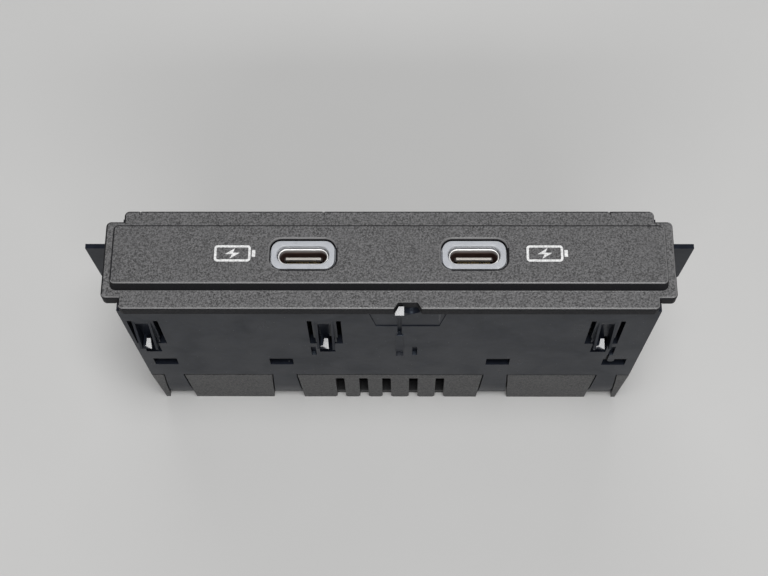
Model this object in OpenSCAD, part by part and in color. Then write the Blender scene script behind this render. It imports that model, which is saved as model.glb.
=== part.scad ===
// Twin port panel module. It stands on its rear edge with its face up.
// X runs along the width, Y from the front wall to the back wall, Z out of the face.

/* [Overall] */
// Height from the rear edge to the front face
total_h = 53.5; // [50:0.5:60]
// Outside width of the housing at its joint
body_w = 94.6; // [90:0.2:104]
// Lean of each end wall of the housing, out towards the lip
end_draft = 0.6; // [0:0.1:1]
// Outside depth of the housing, front to back
body_d = 17.7; // [17:0.1:20]
// Wall thickness of the housing and of the rear cover
wall = 1.8; // [1.5:0.1:2.1]
// Height of the joint between the housing and the rear cover
joint_z = 14; // [12:0.5:16]

/* [Front bezel] */
// Depth of the flange wings, front to back
flange_d = 14.7; // [13:0.1:16]
// Reach of each wing past the end of the housing
wing_reach = 2.55; // [1.5:0.05:4]
// Ledge of each wing that the raised face leaves bare
wing_ledge = 1.85; // [1:0.05:3]
// Drop of each wing's edge below the underside of the lip
wing_drop = 0.2; // [0.2:0.1:1.2]
// Thickness of the flange and of the lip
lip_t = 2.4; // [1.8:0.1:3]
// Overhang of the lip past the front and back walls
lip_over = 0.6; // [0.2:0.1:1.2]
// Inset of the lip from each end of the housing
lip_inset = 0.6; // [0.1:0.1:1.5]
// Depth of the raised face, front to back
face_d = 11.3; // [10:0.1:12.4]
// Rise of the face above the flange
face_rise = 2.4; // [1.6:0.1:3.4]
// Lean of the raised face's walls, out to the flange
face_lean = 0.3; // [0:0.05:0.5]
// Thickness of the face and of its side walls
face_t = 1.9; // [1.4:0.1:2.3]
// Radius of the upper edges
edge_r = 0.4; // [0.2:0.05:0.6]
// Radius of the corners in plan
corner_r = 0.9; // [0.65:0.05:1.5]
// Depth of the skirt that enters the housing
skirt_h = 4; // [3.4:0.1:4.6]
// Thickness of the skirt
skirt_t = 1.4; // [1:0.1:1.8]
// Radius of the bead that locks the skirt
bead_r = 0.5; // [0.4:0.05:0.7]
// Height of the bead above the skirt
bead_out = 0.35; // [0.2:0.05:0.4]
// Length of the bead
bead_l = 60; // [30:1:80]

/* [Pry notch] */
// Place of the notch along the width
notch_x = 3.4; // [-20:0.1:20]
// Width of the notch at its mouth
notch_w = 5; // [4.4:0.1:8]
// Width of the notch at its root
notch_root_w = 3.4; // [2.4:0.1:4.2]
// Depth of the notch into the lip
notch_d = 1.3; // [1.2:0.1:1.6]
// Radius of the tool pocket in the wall under the notch
pocket_r = 1.6; // [1:0.1:2.2]
// Shift of the tool pocket from the middle of the notch
pocket_shift = 0.7; // [0:0.1:1]
// Width of the tool rest beside the tool pocket
rest_w = 1.6; // [0.6:0.05:1.8]
// Reach of the tool rest out of the wall
rest_out = 0.85; // [0.3:0.05:0.9]
// Reach of the tool rest into the notch, behind the face of the wall
rest_in = 0.5; // [0.4:0.05:0.8]
// Rise of the tool rest into the notch
rest_rise = 1; // [0.4:0.05:1.2]
// Width of the shallow recess round the tool pocket
recess_w = 14.2; // [11:0.1:18]
// Height of the recess
recess_h = 7.5; // [6:0.1:10]
// Slant of each side of the recess
recess_slant = 1.4; // [0.2:0.1:2]
// Depth of the recess in the wall
recess_d = 0.15; // [0.1:0.05:0.4]
// Distance of the gate nib from the middle of the notch
nib_shift = 5.6; // [4:0.1:6]
// Radius of the gate nib
nib_r = 0.45; // [0.3:0.05:0.7]
// Width of each tick in the back lip
tick_w = 0.35; // [0.2:0.05:0.8]
// Length of each tick from the edge of the lip
tick_l = 0.75; // [0.4:0.05:1.2]
// Depth of each tick
tick_d = 0.5; // [0.3:0.05:1]

/* [Ports] */
// Distance between the port centres
port_pitch = 30; // [24:0.5:44]
// Width of the opening inside a port shell
plug_w = 8.34; // [8:0.02:8.8]
// Height of the opening inside a port shell
plug_h = 2.56; // [2.4:0.02:2.8]
// Sheet thickness of a port shell
shell_t = 0.3; // [0.2:0.05:0.4]
// Length of a port shell
shell_l = 8.6; // [7.8:0.1:9.6]
// Width of a solder tab of the shell
tab_w = 1; // [0.6:0.1:1.2]
// Width of the tongue
tongue_w = 6.69; // [6.3:0.01:7]
// Thickness of the tongue
tongue_t = 0.7; // [0.6:0.05:0.8]
// Setback of the tongue's tip from the rim of the shell
tongue_back = 0.85; // [0.5:0.05:1.5]
// Length of the insulator block at the rear of the shell
block_l = 2.4; // [1.8:0.1:3]
// Number of contacts on each face of the tongue
contact_n = 12; // [4:2:12]
// Spacing of the contacts
contact_pitch = 0.5; // [0.42:0.01:0.54]
// Width of a contact
contact_w = 0.25; // [0.15:0.01:0.3]
// Thickness of a contact
contact_t = 0.1; // [0.06:0.01:0.14]
// Thickness of the steel plate in the tongue
plate_t = 0.2; // [0.12:0.02:0.3]
// Width of the steel plate in the tongue
plate_w = 6.2; // [5.6:0.05:6.25]
// Length of the plate's nosing at the tip of the tongue
nosing_l = 0.3; // [0.2:0.05:0.5]
// Thickness of the nosing
nosing_t = 0.45; // [0.35:0.05:0.6]

/* [Light rings] */
// Wall of a ring round the port shell
ring_wall = 0.98; // [0.8:0.02:1.2]
// Radius of a ring's outer corners
ring_corner = 1.75; // [1.6:0.05:2.6]
// Bevel inside a ring's upper edge
ring_bevel = 0.15; // [0.05:0.05:0.3]
// Recess of a ring below the face
ring_recess = 0.4; // [0.1:0.1:0.8]
// Recess of the shell's rim below the ring
rim_recess = 0.9; // [0.4:0.1:1.4]
// Reach of a ring's foot past each end of the ring
foot_reach = 1.1; // [0.6:0.1:2]
// Thickness of a ring's foot
foot_t = 1.2; // [0.8:0.1:1.6]
// Bevel round each opening in the face
opening_bevel = 0.25; // [0.1:0.05:0.4]
// Reach of a ring's two legs past the edge of the board
leg_reach = 1.6; // [1:0.1:2.2]

/* [Snaps] */
// Distance of the left snap from the left end
snap_in_left = 2.8; // [2.7:0.1:6]
// Place of the middle snap along the width
snap_mid_x = -11.65; // [-14:0.05:-4]
// Distance of the right snap from the right end
snap_in_right = 7.95; // [4:0.05:9]
// Distance from the lip down to the top of a snap's slots
snap_drop = 5; // [4.6:0.1:7]
// Length of a snap's slots
snap_l = 11.6; // [10:0.1:13]
// Spacing of the two slots of a snap
snap_pitch = 5.25; // [5:0.05:5.8]
// Width of a slot
slot_w = 0.85; // [0.6:0.05:1]
// Skin left between a slot and the end of the housing
slot_skin = 0.3; // [0.2:0.05:0.6]
// Height of the wider foot of a slot
slot_foot_h = 3.2; // [2:0.1:4]
// Extra width of a slot at its foot
slot_foot_w = 0.5; // [0.2:0.05:0.6]
// Slot across the free end of a snap
end_slot = 0.8; // [0.5:0.1:1.2]
// Room behind a snap to bend into
bend_gap = 1; // [0.6:0.1:1.5]
// Depth of the groove down a snap's face
groove_d = 1.2; // [0.8:0.05:1.3]
// Depth of the groove at its upper end
groove_step = 0.2; // [0.1:0.05:0.4]
// Length of the ramp that deepens the groove
groove_ramp = 5; // [4:0.1:6]
// Width of the groove
groove_w = 2.4; // [2.1:0.1:2.6]
// Corner radius at the upper end of the groove
groove_r = 0.6; // [0.3:0.05:0.9]
// Distance from the top of the slots down to the groove
groove_drop = 1.3; // [1:0.1:2]
// Thickness of the two ribs that flank the groove
snap_rib_t = 0.45; // [0.3:0.05:0.6]
// Reach of the ribs and the nose out of the wall at the free end
snap_rib_out = 1.5; // [0.8:0.1:1.8]
// Width of the nose at its crest
nose_w = 1.15; // [0.8:0.05:1.2]
// Width of the nose at its upper end
nose_tip_w = 0.7; // [0.4:0.05:0.75]
// Width of the low shoulder beside the nose
nose_shoulder = 0.5; // [0.2:0.05:0.6]
// Height of the nose
nose_h = 1.6; // [1.3:0.1:2.4]
// Height of the blunt edge at the free end of the ribs and the nose
snap_land = 0.4; // [0.3:0.1:0.7]
// Width of the window under a snap, through which its nose is moulded
catch_w = 2.9; // [2.4:0.1:3.4]
// Height of the window under a snap
catch_h = 4.5; // [3:0.1:5]
// Width of a relief pocket under a slot
relief_w = 0.95; // [0.6:0.05:1.2]
// Height of a relief pocket
relief_h = 4.5; // [3:0.1:5.5]
// Depth of a relief pocket
relief_d = 0.8; // [0.4:0.05:1.2]
// Drop of a relief pocket below the slots
relief_drop = 1.8; // [1:0.1:3]

/* [Key rib] */
// Place of the key rib along the width
key_x = 1.95; // [0:0.05:2.4]
// Width of the key rib
key_w = 1.4; // [1:0.1:2]
// Length of the key rib
key_l = 9.4; // [6:0.1:11]
// Drop of the key rib's foot below the slots of the snaps
key_drop = 4.7; // [3:0.1:6]
// Rise of the key rib along its length
key_rise = 0.35; // [0.2:0.05:0.6]
// Rise of the key rib at its foot
key_out = 0.85; // [0.7:0.05:1.2]
// Height of the blunt edge at the foot of the key rib
key_land = 0.3; // [0.2:0.05:0.6]
// Height of the slope from the key rib's foot to its length
key_slope = 0.35; // [0.2:0.05:0.6]
// Distance of the key's own relief pocket
key_relief = 2.85; // [2.4:0.05:4]
// Width of the groove above the key rib
key_groove_w = 0.75; // [0.4:0.05:0.9]
// Depth of the groove above the key rib
key_groove_d = 0.7; // [0.4:0.1:0.9]

/* [Fins] */
// Reach of each side fin past the end of the housing
fin_reach = 7; // [5:0.1:9]
// Height of a fin
fin_h = 26; // [20:0.5:28]
// Height of a fin's upright edge
fin_edge = 13; // [8:0.5:16]
// Draft of a fin's upright edge
fin_draft = 0.5; // [0:0.1:1]
// Thickness of a fin
fin_t = 0.9; // [0.7:0.1:1.6]
// Place of the fins behind the middle of the housing
fin_y = 4.5; // [2:0.05:6]
// Gap from the wing down to the fin, which takes the panel
panel_gap = 1.8; // [1.2:0.1:3]

/* [Rear cover] */
// Width of the middle plate with the comb
comb_plate_w = 36.6; // [30:0.2:38]
// Gap beside the middle plate, for a lower tongue of the housing
loop_gap = 5.1; // [4.8:0.1:7]
// Gap beside each end post, for a lower tongue of the housing
end_gap = 4.3; // [4:0.1:6]
// Width of an end post at its top
post_w = 2.3; // [1.9:0.1:3]
// Width of an end post at its foot
post_foot_w = 0.8; // [0.6:0.1:1.6]
// Draft of the end posts over their height
post_draft = 0.9; // [0:0.1:1.2]
// Draft of each side of the plates over their height
plate_draft = 0.6; // [0:0.1:1]
// Places of the comb slots along the width
comb_x = [-10, -5.3, -0.7, 4.7, 10];
// Width of a comb slot
comb_w = 1.75; // [1.2:0.05:2.2]
// Bridge left above the comb slots
comb_bridge = 2.2; // [1.9:0.1:4]
// Flare at the mouth of each comb slot
comb_flare = 0.45; // [0.1:0.05:0.6]
// Depth of the comb slots in the edge of the floor
comb_wrap = 0.9; // [0.6:0.1:1.4]
// Thickness of the cover's floor
floor_t = 1.6; // [1.2:0.1:2]
// Height of the lower tongues' feet above the rear edge
loop_foot = 0.6; // [0.4:0.1:3]
// Height over which the foot of each lower tongue curves in
loop_curve_h = 7.2; // [4:0.1:8]
// Depth by which the foot of each lower tongue curves in
loop_curve = 1; // [0.4:0.1:1.2]
// Height of the rim that enters the housing
spigot_h = 2.8; // [2:0.1:4]
// Thickness of the rim and of the hooks
hook_t = 1.2; // [0.9:0.1:1.4]
// Height of the windows above the joint
window_lift = 6.2; // [5:0.1:8]
// Width of a window
window_w = 4.5; // [3.6:0.1:5.2]
// Height of a window
window_h = 3.4; // [2.4:0.1:3.6]
// Distance of the outer windows from the ends
window_in = 4.1; // [3.9:0.1:5]
// Reach of a hook into its window
hook_out = 0.8; // [0.5:0.1:1.2]
// Height of the flat edge of a hook
hook_land = 0.5; // [0.3:0.1:0.8]
// Radius of the round tab in the front right window
tab_r = 0.65; // [0.4:0.05:0.8]
// Drop of the round tab into its window
tab_drop = 1.5; // [1:0.1:2]

/* [Main board] */
// Thickness of the board
board_t = 1.6; // [1.2:0.1:2]
// Setback of the board's edge from the rim of the shells
board_setback = 4.8; // [4.4:0.1:5.4]
// Lift of the board above the joint
board_lift = 1.2; // [0.8:0.1:2]
// Distance of each rear seat of the board from the middle
seat_x = 33; // [28:0.5:38]
// Width of a rear seat
seat_w = 5; // [3:0.5:8]
// Grip of a rear seat on the board
seat_grip = 2; // [1:0.1:3]
// Reach of the guide rails along the ends of the board
rail_reach = 1.8; // [1.2:0.1:2.4]
// Thickness of a guide rail
rail_t = 1.2; // [0.8:0.1:1.6]

/* [Rear header] */
// Outside width of the header shroud
header_w = 24; // [20:0.2:28]
// Outside depth of the header shroud
header_d = 7.2; // [6.6:0.1:7.6]
// Wall of the header shroud
header_wall = 1; // [0.8:0.1:1.2]
// Recess of the mouth above the rear edge
mouth_z = 0.4; // [0.2:0.1:2]
// Grip of the shroud on the board
header_grip = 4; // [3:0.1:5]
// Setback of the pin tips from the mouth
pin_back = 6; // [5:0.1:7]
// Number of pin columns
pin_columns = 5; // [3:1:5]
// Spacing of the pin columns
pin_pitch = 4; // [2.5:0.1:4.2]
// Spacing of the two pin rows
pin_row = 2.2; // [1.8:0.1:2.5]
// Thickness of a square pin
pin_t = 0.64; // [0.5:0.02:0.8]

/* [Board parts] */
// Side of the hub chip
chip_w = 9; // [7:0.5:10]
// Side of a power coil
coil_w = 8; // [6:0.5:9]
// Height of a power coil
coil_h = 4; // [3:0.1:5]
// Place of each power coil from the middle
coil_x = 25; // [23.5:0.5:26]
// Diameter of a bulk capacitor
can_dia = 6.3; // [5:0.1:7]
// Height of a bulk capacitor
can_h = 6; // [5:0.1:6.6]
// Place of each bulk capacitor from the middle
can_x = 36; // [34.5:0.5:37]
// Side of a power switch
switch_w = 5; // [4:0.5:6]
// Place of each power switch from the middle
switch_x = 14; // [12:0.5:15]

/* [Clearances] */
// Gap between parts that slip together
fit_gap = 0.15; // [0.1:0.01:0.2]
// Gap between a port shell and its ring
shell_gap = 0.1; // [0.05:0.01:0.15]
// Gap between a ring and its opening in the face
ring_gap = 0.25; // [0.15:0.05:0.4]
// Gap of the joint between the housing and the rear cover
joint_gap = 0.4; // [0.2:0.05:0.6]
// Gap beside the lower tongues
loop_side = 0.25; // [0.15:0.05:0.4]
// Gap round pieces moulded into or pressed into another
insert_gap = 0.03; // [0.02:0.01:0.05]
// Gap round the board's edges, tabs and pins
board_gap = 0.1; // [0.06:0.02:0.16]

/* [Hidden] */
$fn = 48;
eps = 0.05;

inner_w = body_w - 2 * wall;
inner_d = body_d - 2 * wall;
top_w = body_w + 2 * end_draft;
flange_w = top_w + 2 * wing_reach;
face_w = flange_w - 2 * wing_ledge;
lip_w = top_w - 2 * lip_inset;
lip_d = body_d + 2 * lip_over;
seat_z = total_h - face_rise;
lip_z = seat_z - lip_t;
wing_z = lip_z - wing_drop;
cover_z = joint_z - joint_gap / 2;
housing_z = joint_z + joint_gap / 2;
face_foot = face_lean * (face_rise + lip_t / 2 - edge_r) / (face_rise - edge_r);
skirt_z = lip_z - skirt_h;
skirt_w = 2 * end_x(inner_w, skirt_z) - 2 * fit_gap;
skirt_d = inner_d - 2 * fit_gap;
hollow_w = skirt_w - 2 * skirt_t;
hollow_d = face_d - 2 * face_t;
hollow_z = total_h - face_t;
bead_lift = 0.7;
bead_z = skirt_z + bead_lift + bead_r;
bead_y = skirt_d / 2 - bead_r + bead_out;

shell_w = plug_w + 2 * shell_t;
shell_d = plug_h + 2 * shell_t;
ring_hole_w = shell_w + 2 * shell_gap;
ring_hole_d = shell_d + 2 * shell_gap;
ring_w = ring_hole_w + 2 * ring_wall;
ring_d = ring_hole_d + 2 * ring_wall;
ring_z = total_h - ring_recess;
rim_z = ring_z - rim_recess;
shell_z = rim_z - shell_l;
tip_z = rim_z - tongue_back;
ring_r = min(ring_corner, ring_d / 2 - eps);
opening_w = ring_w + 2 * ring_gap;
opening_d = ring_d + 2 * ring_gap;
opening_r = ring_r + ring_gap;

board_y = shell_d / 2;
board_back_y = board_y + board_t;
board_top = rim_z - board_setback;
board_z = joint_z + board_lift;
board_w = inner_w - 4 * board_gap;
board_neck_w = hollow_w - 4 * board_gap;
board_neck_z = skirt_z - 4 * board_gap;
spigot_z = cover_z + spigot_h;
spigot_w = inner_w - 2 * fit_gap;
spigot_d = inner_d - 2 * fit_gap;
room_w = spigot_w - 2 * hook_t;
room_d = spigot_d - 2 * hook_t;
board_foot_w = room_w - 4 * board_gap;
board_foot_z = spigot_z + 4 * board_gap;
ring_lift = 0.6;
ring_foot_z = board_top + ring_lift;
leg_x = ring_hole_w / 2 + ring_wall / 2;
leg_z = board_top - leg_reach;
leg_front = 0.6;
lamp_gap = 0.3;
lamp_size = [0.9, 0.7, 1.2];

cover_t = wall;
base_z = cover_z - cover_t;
window_z = joint_z + window_lift;
comb_top = joint_z - comb_bridge;
side_x0 = comb_plate_w / 2 + loop_gap;
side_x1 = body_w / 2 - post_w - end_gap;
inner_window_x = comb_plate_w / 2 + loop_gap / 2;
outer_window_x = body_w / 2 - window_in;
window_places = [-outer_window_x, -inner_window_x, inner_window_x, outer_window_x];
end_loop_x = side_x1 + end_gap / 2;
end_flare = max(0, min(plate_draft, post_w - post_foot_w - post_draft));
loop_places = [[-end_loop_x, end_gap, end_flare], [-inner_window_x, loop_gap, plate_draft],
               [inner_window_x, loop_gap, plate_draft], [end_loop_x, end_gap, end_flare]];

slot_top = lip_z - snap_drop;
slot_z = slot_top - snap_l;
snap_x = [snap_in_left - body_w / 2, snap_mid_x, body_w / 2 - snap_in_right];
slot_limit = body_w / 2 - slot_skin - slot_w / 2;
free_end = slot_z + end_slot;
relief_z = slot_z - relief_drop - relief_h;
fin_top = wing_z - panel_gap;
key_z = slot_z - key_drop;
key_top = key_z + key_l;
recess_z = lip_z - recess_h;
tab_x = snap_x[2] + snap_pitch / 2 + relief_w / 2;

header_y = board_y - header_d / 2;
header_top = board_z + header_grip;
header_back = header_grip;
pin_tip = mouth_z + pin_back;
pin_bend = header_top + 1.2;
pin_step = 2.5;
pin_tail = 0.9;
chip_t = 0.9;
chip_drop = 13;
coil_drop = 16;
can_drops = [11, 19];
switch_drops = [12, 19];
switch_t = 1;
crystal_size = [3.2, 0.8, 2.5];
crystal_x = 8;
capacitor_size = [1.6, 0.8, 0.8];
capacitor_x = [-6.5, -3, 3, 6.5];
capacitor_drops = [6.5, 19.5];

black_paint = [0.33, 0.33, 0.335];
black_plastic = [0.19, 0.195, 0.205];
grey_plastic = [0.23, 0.23, 0.225];
pale_ring = [0.74, 0.75, 0.79];
steel = [0.78, 0.78, 0.77];
gold = [0.83, 0.68, 0.36];
board_green = [0.1, 0.3, 0.18];
chip_black = [0.12, 0.12, 0.13];

// Flat outline with four round corners
module rounded_rect(w, d, r) {
    square([w - 2 * r, d], center = true);
    square([w, d - 2 * r], center = true);
    for (x = [-1, 1], y = [-1, 1])
        translate([x * (w / 2 - r), y * (d / 2 - r)])
            circle(r = r);
}

// Flat outline with two round ends
module stadium(w, d) {
    square([w - d, d], center = true);
    for (x = [-1, 1])
        translate([x * (w - d) / 2, 0])
            circle(d = d);
}

// Profile drawn in Y and Z, run along X about the middle
module along_x(l) {
    rotate([90, 0, 90])
        linear_extrude(l, center = true)
            children();
}

// Profile drawn in X and Z, run along Y about the middle
module along_y(l) {
    rotate([90, 0, 0])
        linear_extrude(l, center = true)
            children();
}

// Same shape on the front wall and on the back wall
module both_walls() {
    children();
    mirror([0, 1, 0])
        children();
}

// Plate with round corners, round upper edges and walls that lean out to its foot
module soft_plate(w, d, h, lean) {
    hull()
        for (x = [-1, 1], y = [-1, 1])
            translate([x * (w / 2 - corner_r), y * (d / 2 - corner_r), 0])
                rotate_extrude($fn = 32)
                    soft_profile(h, lean);
}

module soft_profile(h, lean) {
    polygon([[0, 0], [corner_r + lean, 0], [corner_r, h - edge_r], [0, h - edge_r]]);
    square([corner_r - edge_r, h]);
    translate([corner_r - edge_r, h - edge_r])
        intersection() {
            circle(r = edge_r, $fn = 32);
            square(edge_r);
        }
}

// Half width at a height of a box that is w wide at the joint and leans out to the lip
function end_x(w, z) = w / 2 + end_draft * (z - housing_z) / (lip_z - housing_z);

// Bevel that widens an opening of w by d with corners of radius r towards its upper edge at z
module bevel_cut(w, d, r, z, bevel) {
    low = z - bevel;
    high = z + eps;
    out = bevel + eps;
    for (x = [-1, 1], y = [-1, 1])
        translate([x * (w / 2 - r), y * (d / 2 - r), low])
            cylinder(r1 = r, r2 = r + out, h = high - low);
    along_x(w - 2 * r)
        polygon([[-d / 2, low], [d / 2, low], [d / 2 + out, high], [-d / 2 - out, high]]);
    if (d - 2 * r > eps)
        along_y(d - 2 * r)
            polygon([[-w / 2, low], [w / 2, low], [w / 2 + out, high], [-w / 2 - out, high]]);
}

module front_bezel() {
    color(black_paint)
    difference() {
        union() {
            difference() {
                translate([0, 0, wing_z])
                    soft_plate(flange_w, flange_d, lip_t + wing_drop, 0);
                translate([0, 0, wing_z + wing_drop / 2 - eps])
                    cube([top_w + 2 * fit_gap, body_d, wing_drop + 2 * eps], center = true);
            }
            translate([0, 0, lip_z])
                soft_plate(lip_w, lip_d, lip_t, 0);
            translate([0, 0, seat_z - lip_t / 2])
                soft_plate(face_w, face_d, face_rise + lip_t / 2, face_foot);
            bezel_skirt();
        }
        translate([-hollow_w / 2, -hollow_d / 2, lip_z - eps])
            cube([hollow_w, hollow_d, hollow_z - lip_z + eps]);
        for (x = [-1, 1])
            translate([x * port_pitch / 2, 0, 0]) {
                translate([0, 0, hollow_z - eps])
                    linear_extrude(face_t + 2 * eps)
                        rounded_rect(opening_w, opening_d, opening_r);
                bevel_cut(opening_w, opening_d, opening_r, total_h, opening_bevel);
            }
        translate([0, 0, lip_z - eps])
            linear_extrude(lip_t + 2 * eps)
                notch_outline(0);
        for (x = snap_x)
            translate([x - tick_w / 2, lip_d / 2 - tick_l, seat_z - tick_d])
                cube([tick_w, tick_l + eps, tick_d + eps]);
    }
}

module bezel_skirt() {
    translate([0, 0, skirt_z])
        linear_extrude(skirt_h + eps)
            difference() {
                square([skirt_w, skirt_d], center = true);
                square([hollow_w, skirt_d - 2 * skirt_t], center = true);
            }
    both_walls()
        translate([0, bead_y, bead_z])
            rotate([0, 90, 0])
                cylinder(r = bead_r, h = bead_l, center = true);
}

// Plan of the pry notch with its open side in front, drawn in by a gap
module notch_outline(gap) {
    mouth = notch_w / 2 - gap;
    root = notch_root_w / 2 - gap;
    translate([notch_x, -lip_d / 2])
        polygon([[-mouth, -notch_d], [mouth, -notch_d], [mouth, 0], [root, notch_d - gap],
                 [-root, notch_d - gap], [-mouth, 0]]);
}

module housing() {
    color(black_plastic) {
        difference() {
            union() {
                housing_wall();
                for (side = [-1, 1])
                    fin(side);
                key_rib();
                both_walls()
                    for (place = loop_places)
                        lower_tongue(place[0], place[1], place[2]);
                for (side = [-1, 1])
                    guide_rails(side);
            }
            key_groove();
            pry_recess();
            both_walls() {
                for (x = snap_x)
                    snap_cut(x);
                for (x = window_places)
                    translate([x - window_w / 2, -body_d / 2 - eps, window_z])
                        cube([window_w, wall + 2 * eps, window_h]);
                bead_groove();
            }
            relief_pocket(snap_x[1] - snap_pitch / 2);
            relief_pocket(snap_x[2] + snap_pitch / 2);
            relief_pocket(key_x + key_relief);
            tab_slot();
            translate([notch_x + pocket_shift, -body_d / 2, lip_z])
                sphere(r = pocket_r);
        }
        tool_rest();
        gate_nib();
        both_walls()
            for (x = snap_x)
                translate([x, 0, 0])
                    snap_arm();
        window_tab();
    }
}

module housing_wall() {
    difference() {
        leaning_box(body_w, body_d, housing_z, lip_z);
        leaning_box(inner_w, inner_d, housing_z - eps, lip_z + eps);
    }
}

// Box from z0 to z1 whose two ends lean out
module leaning_box(w, d, z0, z1) {
    along_y(d)
        polygon([[-end_x(w, z0), z0], [end_x(w, z0), z0], [end_x(w, z1), z1], [-end_x(w, z1), z1]]);
}

// Guide fin on an end wall, with an upright edge and a ramp back to the wall
module fin(side) {
    root = body_w / 2 - wall / 2;
    tip = top_w / 2 + fin_reach;
    translate([0, fin_y, 0])
        along_y(fin_t)
            polygon([[side * root, fin_top], [side * tip, fin_top],
                     [side * (tip - fin_draft), fin_top - fin_edge],
                     [side * root, fin_top - fin_h]]);
}

// Shallow recess that clears a tool in front of the tool pocket
module pry_recess() {
    translate([notch_x, -body_d / 2 + recess_d / 2 - eps / 2, 0])
        along_y(recess_d + eps)
            polygon([[-recess_w / 2, lip_z + eps], [recess_w / 2, lip_z + eps],
                     [recess_w / 2 - recess_slant, recess_z], [-recess_w / 2 + recess_slant, recess_z]]);
}

// Ramped rest for a tool, in line with the key rib, that rises into the notch
module tool_rest() {
    outer = -body_d / 2;
    crest = outer - rest_out;
    under = lip_z - fit_gap;
    translate([key_x, 0, 0])
        along_x(rest_w)
            polygon([[outer + wall / 2, under], [outer + wall / 2, lip_z - 2 * rest_out],
                     [outer, lip_z - 2 * rest_out], [crest, lip_z - rest_out], [crest, under]]);
    intersection() {
        translate([key_x, 0, 0])
            along_x(rest_w)
                polygon([[outer + rest_in, under - eps], [crest, under - eps], [crest, lip_z],
                         [outer + rest_in, lip_z + rest_rise]]);
        translate([0, 0, under - 2 * eps])
            linear_extrude(2 * lip_t)
                notch_outline(fit_gap);
    }
}

// Rib along the wall whose foot flares out
module key_rib() {
    outer = -body_d / 2;
    translate([key_x, 0, 0])
        along_x(key_w)
            polygon([[outer + eps, key_z], [outer - key_out, key_z], [outer - key_out, key_z + key_land],
                     [outer - key_rise, key_z + key_land + key_slope], [outer - key_rise / 2, key_top],
                     [outer + eps, key_top]]);
}

// Groove from the key rib up into the recess
module key_groove() {
    translate([key_x - key_groove_w / 2, -body_d / 2 - eps, key_top])
        cube([key_groove_w, key_groove_d + eps, lip_z - 2 * pocket_r - key_top]);
}

// Round stub of the moulding gate under the lip
module gate_nib() {
    translate([notch_x + nib_shift, -body_d / 2 + recess_d + eps, lip_z - 2 * nib_r])
        sphere(r = nib_r);
}

// Round tab that hangs in the front right window, beside a slot that frees it
module window_tab() {
    top = window_z + window_h + eps;
    translate([tab_x, -body_d / 2 + wall / 4, 0])
        along_y(wall / 2)
            union() {
                translate([-tab_r, top - tab_drop + tab_r])
                    square([2 * tab_r, tab_drop - tab_r]);
                translate([0, top - tab_drop + tab_r])
                    circle(r = tab_r);
            }
}

module tab_slot() {
    low = window_z + window_h - eps;
    translate([tab_x - tab_r - relief_w / 2, -body_d / 2 - eps, low])
        cube([relief_w / 2, relief_d + eps, relief_z - low + eps]);
}

// Wall tongue that widens down between the plates of the rear cover and curves in at its foot
module lower_tongue(x, gap, flare) {
    outer = -body_d / 2;
    curve_z = loop_foot + loop_curve_h;
    curve_r = (pow(loop_curve_h, 2) + pow(loop_curve, 2)) / (2 * loop_curve);
    half = gap / 2 - loop_side;
    foot = half + flare * (1 - loop_foot / cover_z);
    translate([x, 0, 0])
        intersection() {
            along_x(gap + 2 * flare) {
                translate([outer, curve_z])
                    square([wall, housing_z + eps - curve_z]);
                intersection() {
                    translate([outer, loop_foot])
                        square([wall, loop_curve_h + eps]);
                    translate([outer + curve_r, curve_z])
                        circle(r = curve_r);
                }
            }
            along_y(2 * body_d)
                polygon([[-foot, loop_foot - eps], [foot, loop_foot - eps], [half, cover_z],
                         [half, housing_z + 2 * eps], [-half, housing_z + 2 * eps], [-half, cover_z]]);
        }
}

// Pair of rails on an end wall that hold an edge of the board
module guide_rails(side) {
    bottom = spigot_z + fit_gap;
    rail_l = rail_reach + wall / 2;
    for (y = [board_y - board_gap - rail_t, board_back_y + board_gap])
        translate([side * (inner_w - rail_reach + wall / 2) / 2 - rail_l / 2, y, bottom])
            cube([rail_l, rail_t, board_neck_z - bottom]);
}

// Middle of a slot beside a snap, held clear of the ends of the housing
function slot_x(x, side) = max(-slot_limit, min(slot_limit, x + side * snap_pitch / 2));

// Slots that free a snap from the wall, the room behind it and the groove down its face
module snap_cut(x) {
    outer = -body_d / 2;
    left = slot_x(x, -1);
    right = slot_x(x, 1);
    for (side = [-1, 1]) {
        translate([slot_x(x, side) - slot_w / 2, outer - eps, slot_z])
            cube([slot_w, wall + 2 * eps, snap_l]);
        translate([slot_x(x, side) - side * slot_foot_w / 2 - slot_w / 2, outer - eps, slot_z])
            cube([slot_w, wall + 2 * eps, slot_foot_h]);
    }
    translate([left, outer - eps, slot_z])
        cube([right - left, wall + 2 * eps, end_slot]);
    translate([x - catch_w / 2, outer - eps, slot_z - catch_h])
        cube([catch_w, wall + 2 * eps, catch_h + eps]);
    translate([left - slot_w / 2, -inner_d / 2 - eps, slot_z])
        cube([right - left + slot_w, bend_gap + eps, snap_l]);
    translate([x, 0, 0])
        snap_groove();
}

// Ramped groove with round upper corners
module snap_groove() {
    outer = -body_d / 2;
    groove_top = slot_top - groove_drop;
    groove_l = groove_top - slot_z + groove_r;
    intersection() {
        along_x(groove_w + 2 * eps)
            polygon([[outer - eps, groove_top], [outer + groove_step, groove_top],
                     [outer + groove_d, groove_top - groove_ramp], [outer + groove_d, slot_z],
                     [outer - eps, slot_z]]);
        along_y(body_d + 2 * eps)
            translate([0, groove_top - groove_l / 2])
                rounded_rect(groove_w, groove_l, groove_r);
    }
}

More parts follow.
